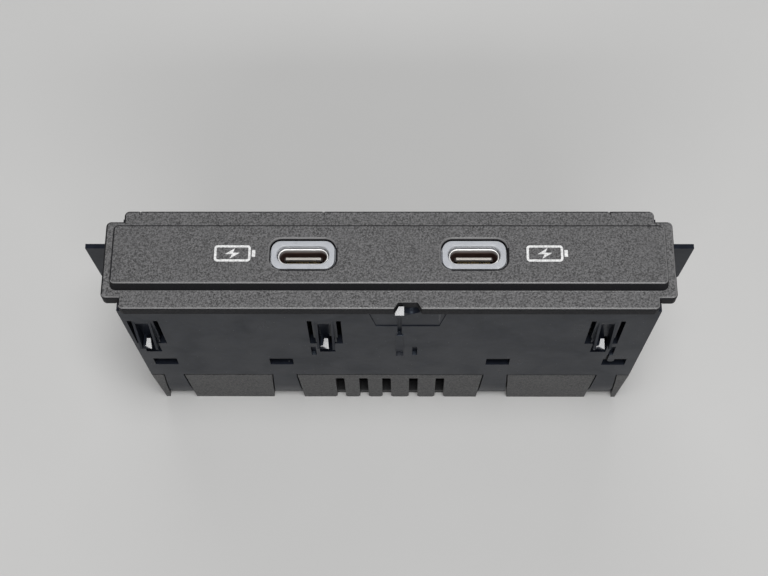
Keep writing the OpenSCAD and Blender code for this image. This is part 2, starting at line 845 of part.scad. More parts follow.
// Flaring ribs and catching nose on the face of a snap
module snap_arm() {
    outer = -body_d / 2;
    rib_top = slot_top - snap_land;
    crest = outer - snap_rib_out;
    shoulder_z = free_end + snap_land + nose_h / 4;
    nose_top = free_end + nose_h;
    for (side = [-1, 1])
        translate([side * (groove_w / 2 + snap_rib_t / 2), 0, 0])
            along_x(snap_rib_t)
                polygon([[outer + groove_d, free_end], [crest, free_end], [crest, free_end + snap_land],
                         [outer, rib_top], [outer + groove_d, rib_top]]);
    intersection() {
        along_x(groove_w)
            polygon([[outer + groove_d + eps, free_end], [crest + snap_land / 2, free_end],
                     [crest, free_end + snap_land], [outer + groove_d / 8, nose_top],
                     [outer + groove_d + eps, (free_end + nose_top) / 2]]);
        along_y(body_d + 4 * snap_rib_out)
            polygon([[-nose_w / 2 - nose_shoulder, free_end - eps], [nose_w / 2, free_end - eps],
                     [nose_tip_w / 2, nose_top + eps], [-nose_tip_w / 2, nose_top + eps],
                     [-nose_w / 2, shoulder_z], [-nose_w / 2 - nose_shoulder, shoulder_z]]);
    }
}

module bead_groove() {
    translate([0, -bead_y, bead_z])
        rotate([0, 90, 0])
            cylinder(r = bead_r + fit_gap, h = bead_l + 2 * fit_gap, center = true);
}

module relief_pocket(x) {
    translate([x - relief_w / 2, -body_d / 2 - eps, relief_z])
        cube([relief_w, relief_d + eps, relief_h]);
}

module rear_cover() {
    color(grey_plastic)
    difference() {
        union() {
            cover_base();
            both_walls() {
                comb_plate();
                for (side = [-1, 1])
                    side_plate(side);
                for (x = window_places)
                    hook(x);
            }
            for (side = [-1, 1]) {
                end_post(side);
                board_seat(side * seat_x);
            }
        }
        translate([0, header_y, -eps])
            linear_extrude(header_top)
                square([header_w + 2 * fit_gap, header_d + 2 * fit_gap], center = true);
    }
}

// Floor of the cover, and the frame near its top with a rim that enters the housing
module cover_base() {
    linear_extrude(floor_t)
        difference() {
            square([body_w - 2 * post_draft - post_foot_w, body_d - 2 * comb_wrap], center = true);
            tongue_notches(1);
        }
    translate([0, 0, base_z])
        linear_extrude(cover_t)
            difference() {
                square([body_w - 2 * eps, body_d - 2 * eps], center = true);
                square([room_w, room_d], center = true);
                tongue_notches(0);
            }
    translate([0, 0, cover_z - eps])
        linear_extrude(spigot_h + eps)
            difference() {
                square([spigot_w, spigot_d], center = true);
                square([room_w, room_d], center = true);
            }
}

// Room for the lower tongues, wider by a share of their flare
module tongue_notches(share) {
    for (place = loop_places, side = [-1, 1])
        translate([place[0], side * body_d / 2])
            square([place[1] + 2 * share * place[2], 2 * (wall + loop_side)], center = true);
}

// Plate between x0 and x1 with drafted sides, flush with the housing's wall
module drafted_plate(x0, x1) {
    translate([0, -body_d / 2 + wall / 2, 0])
        along_y(wall)
            difference() {
                polygon([[x0, cover_z], [x1, cover_z], [x1 - plate_draft, 0], [x0 + plate_draft, 0]]);
                children();
            }
}

module comb_plate() {
    drafted_plate(-comb_plate_w / 2, comb_plate_w / 2)
        for (x = comb_x)
            translate([x, 0])
                comb_slot();
}

// Slot with a round head and a flared mouth
module comb_slot() {
    head_r = comb_w / 5;
    translate([0, comb_top / 2])
        rounded_rect(comb_w, comb_top, head_r);
    polygon([[-comb_w / 2 - comb_flare, -eps], [comb_w / 2 + comb_flare, -eps],
             [comb_w / 2, comb_flare + head_r], [-comb_w / 2, comb_flare + head_r]]);
}

module side_plate(side) {
    drafted_plate(min(side * side_x0, side * side_x1), max(side * side_x0, side * side_x1));
}

// End wall of the skirt, tapering to its foot
module end_post(side) {
    top = body_w / 2;
    foot = top - post_draft;
    along_y(body_d)
        polygon([[side * top, cover_z], [side * (top - post_w), cover_z],
                 [side * (foot - post_foot_w), 0], [side * foot, 0]]);
}

// Arm inside the housing with a ramped hook in its window
module hook(x) {
    face = -inner_d / 2 + fit_gap;
    tip = -inner_d / 2 - hook_out;
    low = window_z + fit_gap;
    high = window_z + window_h - fit_gap;
    translate([x, 0, 0])
        along_x(window_w - 2 * fit_gap)
            polygon([[face + hook_t, cover_z], [face, cover_z], [face, low], [tip, low],
                     [tip, low + hook_land], [face, high], [face + hook_t, high]]);
}

// Slotted pillar on the floor that holds a lower corner of the board
module board_seat(x) {
    translate([x, (board_y + board_back_y) / 2, 0])
        along_x(seat_w)
            difference() {
                translate([-board_t / 2 - board_gap - rail_t, floor_t - eps])
                    square([board_t + 2 * board_gap + 2 * rail_t, board_z + seat_grip - floor_t]);
                translate([-board_t / 2 - board_gap, board_z])
                    square([board_t + 2 * board_gap, seat_grip + eps]);
            }
}

// Pale collar with a foot under the face and two legs that reach to the lamps
module light_ring(x) {
    color(pale_ring)
    translate([x, 0, 0]) {
        difference() {
            union() {
                translate([0, 0, ring_foot_z])
                    linear_extrude(ring_z - ring_foot_z)
                        rounded_rect(ring_w, ring_d, ring_r);
                translate([0, 0, hollow_z - foot_t])
                    linear_extrude(foot_t)
                        square([ring_w + 2 * foot_reach, hollow_d - 2 * fit_gap], center = true);
            }
            translate([0, 0, ring_foot_z - eps])
                linear_extrude(ring_z - ring_foot_z + 2 * eps)
                    stadium(ring_hole_w, ring_hole_d);
            bevel_cut(ring_hole_w, ring_hole_d, ring_hole_d / 2, ring_z, ring_bevel);
        }
        for (side = [-1, 1])
            translate([side * leg_x - ring_wall / 2, -leg_front, leg_z])
                cube([ring_wall, leg_front + board_y - board_gap, ring_foot_z - leg_z + foot_t]);
    }
}

// Folded steel tube with four tabs through the board
module port_shell(x) {
    color(steel)
    translate([x, 0, 0]) {
        translate([0, 0, shell_z])
            linear_extrude(shell_l)
                difference() {
                    stadium(shell_w, shell_d);
                    stadium(plug_w, plug_h);
                }
        for (side = [-1, 1], z = tab_places())
            translate([side * (shell_w / 2 - shell_t / 2) - shell_t / 2, 0, z])
                cube([shell_t, board_back_y + 2 * shell_t, tab_w]);
    }
}

function tab_places() = [shell_z + tab_w / 2, shell_z + 2.2 * tab_w];

// Moulded block with the tongue, hollowed for the contacts and the steel plate
module port_insulator(x) {
    color(chip_black)
    translate([x, 0, 0])
        difference() {
            union() {
                translate([0, 0, shell_z])
                    linear_extrude(block_l)
                        stadium(plug_w - 2 * insert_gap, plug_h - 2 * insert_gap);
                translate([-tongue_w / 2, -tongue_t / 2, shell_z])
                    cube([tongue_w, tongue_t, tip_z - nosing_l - insert_gap - shell_z]);
            }
            translate([-plate_w / 2 - insert_gap, -plate_t / 2 - insert_gap, shell_z + block_l / 2])
                cube([plate_w + 2 * insert_gap, plate_t + 2 * insert_gap, tip_z]);
            for (side = [-1, 1], i = [0 : contact_n - 1])
                translate([contact_x(i) - contact_w / 2 - insert_gap, contact_low(side) - insert_gap,
                           shell_z - eps])
                    cube([contact_w + 2 * insert_gap, contact_t + 2 * insert_gap, block_l + 2 * eps]);
        }
}

function contact_x(i) = (i - (contact_n - 1) / 2) * contact_pitch;
function contact_low(side) = side * (tongue_t / 2 + insert_gap + contact_t / 2) - contact_t / 2;

// Steel plate in the middle of the tongue, with a nosing at the tip
module tongue_plate(x) {
    color(steel)
    translate([x, 0, 0]) {
        translate([-plate_w / 2, -plate_t / 2, shell_z + block_l / 2 + insert_gap])
            cube([plate_w, plate_t, tip_z - shell_z - block_l / 2 - insert_gap]);
        translate([-plate_w / 2, -nosing_t / 2, tip_z - nosing_l])
            cube([plate_w, nosing_t, nosing_l]);
    }
}

// Two rows of contacts that bend to the board behind the block
module port_contacts(x) {
    tail_step = 0.6;
    color(gold)
    translate([x, 0, 0])
        for (side = [-1, 1], i = [0 : contact_n - 1]) {
            low = contact_low(side);
            tail = shell_z - tail_step * (side > 0 ? 1 : 2);
            translate([contact_x(i) - contact_w / 2, low, tail])
                cube([contact_w, contact_t, tip_z - nosing_l - 2 * tail_step - tail]);
            translate([contact_x(i) - contact_w / 2, low, tail])
                cube([contact_w, board_y - low, contact_t]);
        }
}

// Board with a shouldered outline, slots for the shell tabs and holes for the pins
module main_board() {
    color(board_green)
    translate([0, (board_y + board_back_y) / 2, 0])
        along_y(board_t)
            difference() {
                union() {
                    translate([-board_foot_w / 2, board_z])
                        square([board_foot_w, board_foot_z - board_z + eps]);
                    translate([-board_w / 2, board_foot_z])
                        square([board_w, board_neck_z - board_foot_z]);
                    translate([-board_neck_w / 2, board_foot_z])
                        square([board_neck_w, board_top - board_foot_z]);
                }
                for (p = [-1, 1], side = [-1, 1], z = tab_places())
                    translate([p * port_pitch / 2 + side * (shell_w / 2 - shell_t / 2), z + tab_w / 2])
                        square([shell_t + 2 * board_gap, tab_w + 2 * board_gap], center = true);
                for (i = [0 : pin_columns - 1], row = [0, 1])
                    translate([pin_x(i), pin_bend + row * pin_step])
                        square(pin_t + 2 * board_gap, center = true);
            }
}

function pin_x(i) = (i - (pin_columns - 1) / 2) * pin_pitch;
function pin_y(row) = header_y + pin_row / 2 - row * pin_row;

// Shroud of the rear header, open downwards, with a keyway and a latch step
module header_shroud() {
    key_d = header_wall / 2;
    color(chip_black)
    difference() {
        translate([0, header_y, mouth_z])
            linear_extrude(header_top - mouth_z)
                square([header_w, header_d], center = true);
        translate([0, header_y, mouth_z - eps])
            linear_extrude(header_top - header_back - mouth_z + eps)
                square([header_w - 2 * header_wall, header_d - 2 * header_wall], center = true);
        for (side = [-1, 1])
            translate([side * header_w / 4, header_y - header_d / 2 + header_wall - key_d / 2,
                       (mouth_z + header_top - header_back) / 2])
                cube([2 * header_wall, key_d + eps, header_top - header_back - mouth_z + 2 * eps],
                     center = true);
        for (i = [0 : pin_columns - 1], row = [0, 1])
            translate([pin_x(i), pin_y(row), header_top - header_back / 2])
                cube([pin_t + 2 * insert_gap, pin_t + 2 * insert_gap, header_back + 2 * eps],
                     center = true);
    }
}

// Square pins that stand in the shroud and turn into the board
module header_pins() {
    color(gold)
    for (i = [0 : pin_columns - 1], row = [0, 1]) {
        bend = pin_bend + row * pin_step;
        translate([pin_x(i) - pin_t / 2, pin_y(row) - pin_t / 2, pin_tip])
            cube([pin_t, pin_t, bend + pin_t / 2 - pin_tip]);
        translate([pin_x(i) - pin_t / 2, pin_y(row) - pin_t / 2, bend - pin_t / 2])
            cube([pin_t, board_back_y + pin_tail - pin_y(row) + pin_t / 2, pin_t]);
    }
}

// Block of a size on the front face of the board, at a place in X and Z
module on_board(x, z, size) {
    translate([x - size[0] / 2, board_y - size[1], z - size[2] / 2])
        cube(size);
}

module port_lamps() {
    color("white")
    for (p = [-1, 1], side = [-1, 1])
        on_board(p * port_pitch / 2 + side * leg_x, leg_z - lamp_gap - lamp_size[2] / 2, lamp_size);
}

module hub_chip() {
    color(chip_black)
    on_board(0, board_top - chip_drop, [chip_w, chip_t, chip_w]);
}

module clock_crystal() {
    color(steel)
    on_board(crystal_x, board_top - chip_drop, crystal_size);
}

module power_switches() {
    color(chip_black)
    for (side = [-1, 1], drop = switch_drops)
        on_board(side * switch_x, board_top - drop, [switch_w, switch_t, switch_w]);
}

module power_coil(side) {
    color([0.3, 0.3, 0.32])
    on_board(side * coil_x, board_top - coil_drop, [coil_w, coil_h, coil_w]);
}

module bulk_capacitors() {
    color(steel)
    for (side = [-1, 1], drop = can_drops)
        translate([side * can_x, board_y, board_top - drop])
            rotate([90, 0, 0])
                cylinder(d = can_dia, h = can_h);
}

module chip_capacitors() {
    color([0.62, 0.5, 0.36])
    for (x = capacitor_x, drop = capacitor_drops)
        on_board(x, board_top - drop, capacitor_size);
}

front_bezel();
housing();
rear_cover();
light_ring(-port_pitch / 2);  // left_light_ring
light_ring(port_pitch / 2);  // right_light_ring
port_shell(-port_pitch / 2);  // left_port_shell
port_shell(port_pitch / 2);  // right_port_shell
port_insulator(-port_pitch / 2);  // left_port_insulator
port_insulator(port_pitch / 2);  // right_port_insulator
tongue_plate(-port_pitch / 2);  // left_tongue_plate
tongue_plate(port_pitch / 2);  // right_tongue_plate
port_contacts(-port_pitch / 2);  // left_port_contacts
port_contacts(port_pitch / 2);  // right_port_contacts
main_board();
header_shroud();
header_pins();
port_lamps();
hub_chip();
clock_crystal();
power_switches();
power_coil(-1);  // left_power_coil
power_coil(1);  // right_power_coil
bulk_capacitors();
chip_capacitors();
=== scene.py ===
"""Finishes, printed marks, stage and camera for a panel charging port module."""
import math

import bpy
from mathutils import Matrix, Vector


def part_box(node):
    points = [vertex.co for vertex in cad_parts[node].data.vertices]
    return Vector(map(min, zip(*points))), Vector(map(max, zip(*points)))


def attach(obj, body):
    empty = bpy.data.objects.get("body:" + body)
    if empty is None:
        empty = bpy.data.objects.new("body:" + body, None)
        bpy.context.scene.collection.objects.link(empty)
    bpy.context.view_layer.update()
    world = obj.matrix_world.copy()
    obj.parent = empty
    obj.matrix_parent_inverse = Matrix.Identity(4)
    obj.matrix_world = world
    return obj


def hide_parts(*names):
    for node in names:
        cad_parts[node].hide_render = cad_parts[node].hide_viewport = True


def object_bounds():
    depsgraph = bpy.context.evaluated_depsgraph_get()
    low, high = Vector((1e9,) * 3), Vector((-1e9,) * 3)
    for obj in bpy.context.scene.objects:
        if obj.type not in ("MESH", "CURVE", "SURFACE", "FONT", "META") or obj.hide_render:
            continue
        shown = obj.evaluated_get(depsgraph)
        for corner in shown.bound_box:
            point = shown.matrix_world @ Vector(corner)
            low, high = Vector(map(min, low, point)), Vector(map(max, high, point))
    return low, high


bl_info = {
    "name": "Panel port module",
    "version": (1, 0, 0),
    "blender": (4, 5, 0),
    "location": "View3D > Sidebar > Port module",
    "description": "Dresses the solids of a panel charging port module and sets its stage",
    "category": "Object",
}

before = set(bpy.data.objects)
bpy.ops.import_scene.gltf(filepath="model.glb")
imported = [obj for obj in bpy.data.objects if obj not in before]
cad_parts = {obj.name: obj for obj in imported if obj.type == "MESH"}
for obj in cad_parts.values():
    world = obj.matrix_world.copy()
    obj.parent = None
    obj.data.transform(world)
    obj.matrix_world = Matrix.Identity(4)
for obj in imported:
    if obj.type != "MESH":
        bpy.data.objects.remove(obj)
CAD_LOW, CAD_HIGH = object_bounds()

MM = 1000.0
BODY = "root"
SIDES = ("left", "right")
FACE_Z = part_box("front_bezel")[1].z
WALL_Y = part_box("rear_cover")[1].y
HOUSING_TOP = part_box("housing")[1].z

# Finishes, with sizes in metres
NOISE_LOW = 0.3
NOISE_HIGH = 0.7
SMUDGE_SIZE = 0.009
DUST_GAP = 0.0016
DUST_COLOUR = (0.5, 0.5, 0.48)
DRAW_LINE_SIZE = 0.00012
STAIN_SIZE = 0.0011
CLOUD_SIZE = 0.0016
WEAVE_PER_MM = 2.2
WEFT_SIZE = 0.0005
INK_GRAIN = 0.0003
SHADE_DEPTH = 0.0014

# Rounding of merged copies: merging distance in millimetres, angles in degrees
MERGE_MM = 0.002
FLAT_ANGLE = 0.4
SHARP_ANGLE = 35.0
BEZEL_SHARP_ANGLE = 40.0
NORMAL_WEIGHT = 60

# Where a piece changes its finish, or gets painted highlight, painted light or painted shade: depths in
# metres, and parts of a face's normal
FLANGE_DROP = 1.0 / MM
FLAT_TOP = 0.99
HIGHLIGHT_TOP = 0.64
HIGHLIGHT_LEAN = 0.1
SNAP_PROUD = 0.03 / MM
REST_DROP = 1.0 / MM
CATCH_SLOPE = (0.6, 0.95)
COVER_WALL = 0.8 / MM
COVER_SOLE = 0.2 / MM
RIM_DROP = 0.5 / MM

# Stage: places and sizes of the lamps in metres, the image in pixels
KEY_PLACE = (0.06, -0.1, 0.93)
KEY_SIZE = (0.35, 0.35)
FRONT_PLACE = (0.03, -0.55, 0.465)
FRONT_SIZE = (0.6, 0.09)
BACK_PLACE = (-0.05, 0.7, 0.4)
BACK_SIZE = (0.7, 0.4)
SKY_COLOUR = (0.97, 0.98, 1.0, 1.0)
FLOOR_ROUGHNESS = 0.8
FLOOR_CLOUD = 0.05
IMAGE_WIDTH = 768
SENSOR_WIDTH = 36.0
NEAR_CLIP = 0.01


def port_centre(side):
    """Middle of a port's rim, from the box of its steel shell."""
    low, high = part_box(f"{side}_port_shell")
    return Vector(((low.x + high.x) / 2, 0.0, high.z))


def colour(label, words, default):
    return bpy.props.FloatVectorProperty(
        name=label, description=words, subtype="COLOR", size=3, min=0.0, max=1.0, default=default)


def share(label, words, default):
    return bpy.props.FloatProperty(
        name=label, description=words, subtype="FACTOR", min=0.0, max=1.0, default=default)


def length(label, words, default):
    return bpy.props.FloatProperty(
        name=label, description=words, subtype="DISTANCE", unit="LENGTH", min=0.0, precision=5,
        default=default)


class FinishSettings(bpy.types.PropertyGroup):
    """Colours, textures and edge radii of the module's surfaces."""

    bezel_colour: colour("Bezel", "Grained paint of the bezel", (0.0765, 0.0755, 0.0775))
    # Painted light: a lighter copy of the bezel paint on the flange and lips, against the shade the raised
    # face throws on them.
    flange_light: colour(
        "Flange", "Grained paint of the flange below the face", (0.0945, 0.0935, 0.0955))
    # Painted shade: near-black paint on the upright sides and on the back and left edges of the bezel.
    bezel_shade: colour(
        "Bezel sides", "Thin paint on the upright sides of the bezel", (0.016, 0.016, 0.018))
    # Painted highlight: lighter, smoother paint on the rounded edges that lean to the front and right,
    # towards the lamps.
    bezel_highlight: colour(
        "Bezel edges", "Rubbed paint on the rounded edges of the bezel", (0.17, 0.168, 0.17))
    bezel_flake: colour("Bezel flake", "Pale flakes in the bezel's paint", (0.2, 0.195, 0.19))
    bezel_grain: length("Bezel grain", "Size of the bezel's grain", 0.0003)
    housing_colour: colour("Housing", "Moulded plastic of the housing", (0.0108, 0.0127, 0.0188))
    housing_roughness: share("Housing roughness", "Roughness of the housing", 0.33)
    polished_roughness: share(
        "Polished roughness", "Roughness of the sloped faces that catch or rest", 0.16)
    cover_colour: colour("Rear cover", "Moulded plastic of the rear cover", (0.045, 0.045, 0.046))
    cover_grain: length("Cover grain", "Size of the rear cover's spark texture", 0.00028)
    # Painted shade: near-black plastic on the faces deep inside the rear cover.
    cover_shade: colour("Cover inside", "Unlit plastic inside the rear cover", (0.008, 0.008, 0.009))
    ring_colour: colour("Light ring", "Pale plastic of the light rings", (0.46, 0.475, 0.505))
    steel_colour: colour("Steel", "Drawn steel of the ports", (0.86, 0.85, 0.84))
    tongue_colour: colour("Tongue plate", "Dull steel at the tip of the tongues", (0.56, 0.53, 0.5))
    # Painted shade on the steel inside the ports, darker further below the rim.
    port_shade: colour("Port inside", "Tarnished steel inside the ports", (0.2, 0.12, 0.105))
    insulator_colour: colour("Insulator", "Moulded plastic inside the ports", (0.012, 0.008, 0.0065))
    gold_colour: colour("Gold", "Plating of contacts and pins", (0.83, 0.6, 0.26))
    board_colour: colour("Board", "Lacquer of the board", (0.012, 0.075, 0.03))
    chip_colour: colour("Chips", "Moulded plastic of the chips", (0.018, 0.018, 0.02))
    coil_colour: colour("Coils", "Pressed powder of the coils", (0.08, 0.08, 0.085))
    can_colour: colour("Capacitor cans", "Drawn aluminium of the cans", (0.78, 0.78, 0.79))
    ceramic_colour: colour("Chip capacitors", "Fired ceramic", (0.36, 0.25, 0.14))
    lamp_colour: colour("Lamps", "Cast lens of the lamps", (0.82, 0.82, 0.76))
    edge: length("Edge radius", "Rounding of the bezel, the rings and the header", 0.00006)
    fine_edge: length("Fine edge radius", "Rounding where edges lie close together", 0.00002)
    rim_edge: length("Rim radius", "Rounding of the steel rims", 0.00011)


class PrintSettings(bpy.types.PropertyGroup):
    """White pictogram beside each port: a battery outline with a bolt."""

    ink_colour: colour("Ink", "White printed ink", (0.82, 0.82, 0.82))
    offset: length("Offset", "Distance from the port's middle to the pictogram's middle", 0.0123)
    shift: length("Shift", "Distance of the pictogram behind the port's middle", 0.0001)
    width: length("Width", "Length of the battery outline", 0.0064)
    height: length("Height", "Height of the battery outline", 0.0031)
    line: length("Line", "Width of the printed line", 0.00042)
    corner: length("Corner", "Corner radius of the outline", 0.0006)
    knob: length("Knob", "Length of the battery's knob", 0.0006)
    knob_height: share("Knob height", "Height of the knob as a share of the outline's", 0.42)
    film: length("Film", "Thickness of the ink", 0.000012)


class StageSettings(bpy.types.PropertyGroup):
    """Floor, lamps and camera."""

    floor_colour: colour("Floor", "Plain pale floor", (0.56, 0.558, 0.552))
    floor_size: length("Floor size", "Side of the floor", 6.0)
    sky: share("Sky", "Strength of the even light", 0.06)
    key_power: bpy.props.FloatProperty(
        name="Key lamp", description="Power of the lamp overhead", min=0.0, default=6.2)
    front_power: bpy.props.FloatProperty(
        name="Front lamp", description="Power of the small lamp in front", min=0.0, default=1.6)
    back_power: bpy.props.FloatProperty(
        name="Back lamp", description="Power of the soft lamp behind", min=0.0, default=1.6)
    camera_x: length("Camera X", "Place of the camera along the width", 0.0021754)
    camera_y: length("Camera Y", "Distance of the camera in front of the module's middle", 0.0986681)
    camera_z: length("Camera Z", "Height of the camera", 0.278966)
    pitch: bpy.props.FloatProperty(
        name="Pitch", description="Angle of the view below the horizon", subtype="ANGLE",
        default=math.radians(67.7397))
    yaw: bpy.props.FloatProperty(
        name="Yaw", description="Turn of the view to the right", subtype="ANGLE",
        default=math.radians(-1.8118))
    roll: bpy.props.FloatProperty(
        name="Roll", description="Turn of the view about its own axis", subtype="ANGLE",
        default=math.radians(-1.6377))
    focal_pixels: bpy.props.FloatProperty(
        name="Focal length", description="Focal length in pixels of the image", min=1.0,
        default=1408.71)


# Materials

def start_material(name):
    material = bpy.data.materials.new(name)
    material.use_nodes = True
    return material, material.node_tree, material.node_tree.nodes["Principled BSDF"]


def add(tree, kind, **inputs):
    """New shader node with the given input values."""
    made = tree.nodes.new(kind)
    for socket, value in inputs.items():
        made.inputs[socket.replace("_", " ")].default_value = value
    return made


def coordinates(tree, stretch=(1.0, 1.0, 1.0)):
    """Object coordinates in millimetres, stretched along an axis where a finish has a direction."""
    place = add(tree, "ShaderNodeTexCoord")
    scaled = add(tree, "ShaderNodeMapping", Scale=[MM * s for s in stretch])
    tree.links.new(place.outputs["Object"], scaled.inputs["Vector"])
    return scaled.outputs["Vector"]


def noise(tree, vector, size, detail=2.0, distortion=0.0):
    """Soft noise whose patches have a size in metres."""
    made = add(tree, "ShaderNodeTexNoise", Scale=1.0 / (size * MM), Detail=detail,
               Distortion=distortion)
    tree.links.new(vector, made.inputs["Vector"])
    return made.outputs["Fac"]


def cells(tree, vector, size):
    """Distance to the nearest of many scattered points, about a size apart."""
    made = add(tree, "ShaderNodeTexVoronoi", Scale=1.0 / (size * MM))
    tree.links.new(vector, made.inputs["Vector"])
    return made.outputs["Distance"]


def remap(tree, value, low, high, to_low=0.0, to_high=1.0):
    """Value moved from one range to another."""
    made = add(tree, "ShaderNodeMapRange", From_Min=low, From_Max=high, To_Min=to_low, To_Max=to_high)
    tree.links.new(value, made.inputs["Value"])
    return made.outputs["Result"]


def blend(tree, amount, first, second):
    """Mix of two colours, each a triple or a colour socket."""
    made = tree.nodes.new("ShaderNodeMix")
    made.data_type = "RGBA"
    tree.links.new(amount, made.inputs["Factor"])
    for socket, value in (("A", first), ("B", second)):
        target = next(s for s in made.inputs if s.name == socket and s.type == "RGBA")
        if isinstance(value, bpy.types.NodeSocket):
            tree.links.new(value, target)
        else:
            target.default_value = (*value, 1.0)
    return next(s for s in made.outputs if s.type == "RGBA")


def shade(value, factor):
    """Darker or lighter shade of a colour."""
    return tuple(min(1.0, part * factor) for part in value)


def tones(tree, amount, base, dark, light):
    """Mix of a darker and a lighter shade of one colour."""
    return blend(tree, amount, shade(base, dark), shade(base, light))


def set_colour(tree, shader, mixed):
    tree.links.new(mixed, shader.inputs["Base Color"])


def set_roughness(tree, shader, value, first, last):
    """Roughness that runs from a first to a last value with the middle of a noise's range."""
    rough = remap(tree, value, NOISE_LOW, NOISE_HIGH, first, last)
    tree.links.new(rough, shader.inputs["Roughness"])


def emboss(tree, shader, height, depth, strength):
    """Relief on the shader's normal from a height value, with its depth in metres."""
    made = add(tree, "ShaderNodeBump", Distance=depth, Strength=strength)
    tree.links.new(height, made.inputs["Height"])
    tree.links.new(made.outputs["Normal"], shader.inputs["Normal"])


def grained_paint(name, base, flake, grain):
    """Paint over a fine leather-like grain, with pale flakes."""
    material, tree, shader = start_material(name)
    vector = coordinates(tree)
    patch_size = 14 * grain
    flake_gap = 1.15 * grain
    relief = noise(tree, vector, grain, detail=3.0)
    toned = tones(tree, remap(tree, relief, low=0.34, high=0.66), base, dark=0.2, light=1.8)
    patches = remap(tree, noise(tree, vector, patch_size), low=0.35, high=0.7, to_high=0.35)
    worn = blend(tree, patches, toned, shade(base, 1.25))
    flakes = remap(tree, cells(tree, vector, flake_gap), low=0.12, high=0.26, to_low=0.75, to_high=0.0)
    set_colour(tree, shader, blend(tree, flakes, worn, flake))
    set_roughness(tree, shader, relief, first=0.62, last=0.44)
    emboss(tree, shader, relief, depth=0.00012, strength=0.75)
    return material


def plain_paint(name, base, roughness, level, grain):
    """Paint with a faint grain and a set strength of its mirror image."""
    material, tree, shader = start_material(name)
    shader.inputs["Specular IOR Level"].default_value = level
    relief = noise(tree, coordinates(tree), grain, detail=3.0)
    set_colour(tree, shader, tones(tree, relief, base, dark=0.75, light=1.25))
    set_roughness(tree, shader, relief, first=roughness + 0.06, last=roughness - 0.06)
    emboss(tree, shader, relief, depth=0.00003, strength=0.4)
    return material


def moulded_plastic(name, base, roughness, grain=0.0012, dust=0.0, level=0.5, sheen=(1.0, 1.0, 1.0)):
    """Moulded plastic with a faint uneven gloss, a fine texture and a little dust."""
    material, tree, shader = start_material(name)
    shader.inputs["Specular IOR Level"].default_value = level
    shader.inputs["Specular Tint"].default_value = (*sheen, 1.0)
    vector = coordinates(tree)
    smudge = noise(tree, vector, SMUDGE_SIZE, detail=4.0, distortion=0.6)
    fine = noise(tree, vector, grain)
    toned = tones(tree, remap(tree, fine, low=0.35, high=0.65), base, dark=0.86, light=1.16)
    specks = remap(tree, cells(tree, vector, DUST_GAP), low=0.03, high=0.07, to_low=dust, to_high=0.0)
    set_colour(tree, shader, blend(tree, specks, toned, DUST_COLOUR))
    set_roughness(tree, shader, smudge, first=roughness - 0.06, last=roughness + 0.07)
    emboss(tree, shader, fine, depth=0.00001, strength=0.6)
    return material


def spark_plastic(name, base, grain):
    """Moulded plastic with the dull pitted texture of a spark-eroded mould."""
    material, tree, shader = start_material(name)
    vector = coordinates(tree)
    patch_size = 9 * grain
    pits = noise(tree, vector, grain, detail=3.0)
    toned = tones(tree, remap(tree, pits, low=0.33, high=0.67), base, dark=0.5, light=1.55)
    patches = remap(tree, noise(tree, vector, patch_size, detail=3.0), low=0.4, high=0.7, to_high=0.4)
    set_colour(tree, shader, blend(tree, patches, toned, shade(base, 1.4)))
    set_roughness(tree, shader, pits, first=0.58, last=0.42)
    emboss(tree, shader, pits, depth=0.00006, strength=0.6)
    return material


def drawn_metal(name, base, roughness, stretch=(1.0, 1.0, 0.08)):
    """Bright metal with fine draw lines along one axis."""
    material, tree, shader = start_material(name)
    shader.inputs["Metallic"].default_value = 1.0
    lines = noise(tree, coordinates(tree, stretch), DRAW_LINE_SIZE)
    set_colour(tree, shader, tones(tree, lines, base, dark=0.86, light=1.1))
    set_roughness(tree, shader, lines, first=roughness - 0.06, last=roughness + 0.08)
    emboss(tree, shader, lines, depth=0.000004, strength=0.3)
    return material


def shaded_metal(name, bright, shaded_tone, roughness, rim, depth):
    """Metal with painted shade that darkens from the height of a rim downwards, over a depth in metres."""
    material, tree, shader = start_material(name)
    shader.inputs["Metallic"].default_value = 0.5
    vector = coordinates(tree)
    place = add(tree, "ShaderNodeSeparateXYZ")
    tree.links.new(vector, place.inputs["Vector"])
    shade_mask = remap(tree, place.outputs["Z"], low=(rim - depth) * MM, high=rim * MM)
    stain = noise(tree, vector, STAIN_SIZE, detail=3.0)
    set_colour(tree, shader, blend(tree, shade_mask, tones(tree, stain, shaded_tone, dark=0.7, light=1.3), bright))
    set_roughness(tree, shader, stain, first=roughness - 0.06, last=roughness + 0.08)
    return material


def milky_plastic(name, base):
    """Pale light-guiding plastic, faintly cloudy."""
    material, tree, shader = start_material(name)
    shader.inputs["Subsurface Weight"].default_value = 0.25
    shader.inputs["Subsurface Radius"].default_value = (0.0006, 0.0006, 0.0007)
    cloud = noise(tree, coordinates(tree), CLOUD_SIZE, detail=3.0)
    set_colour(tree, shader, tones(tree, cloud, base, dark=0.9, light=1.08))
    set_roughness(tree, shader, cloud, first=0.26, last=0.36)
    emboss(tree, shader, cloud, depth=0.000006, strength=0.3)
    return material


def woven_laminate(name, base):
    """Lacquered board with the weave of its glass cloth showing faintly."""
    material, tree, shader = start_material(name)
    vector = coordinates(tree)
    weave = add(tree, "ShaderNodeTexChecker", Scale=WEAVE_PER_MM)
    tree.links.new(vector, weave.inputs["Vector"])
    weft = noise(tree, vector, WEFT_SIZE)
    checks = remap(tree, weave.outputs["Fac"], low=0.0, high=1.0, to_high=0.3)
    toned = tones(tree, checks, base, dark=1.0, light=1.5)
    streaks = remap(tree, weft, low=0.4, high=0.7, to_high=0.3)
    set_colour(tree, shader, blend(tree, streaks, toned, shade(base, 0.7)))
    set_roughness(tree, shader, weft, first=0.3, last=0.42)
    return material


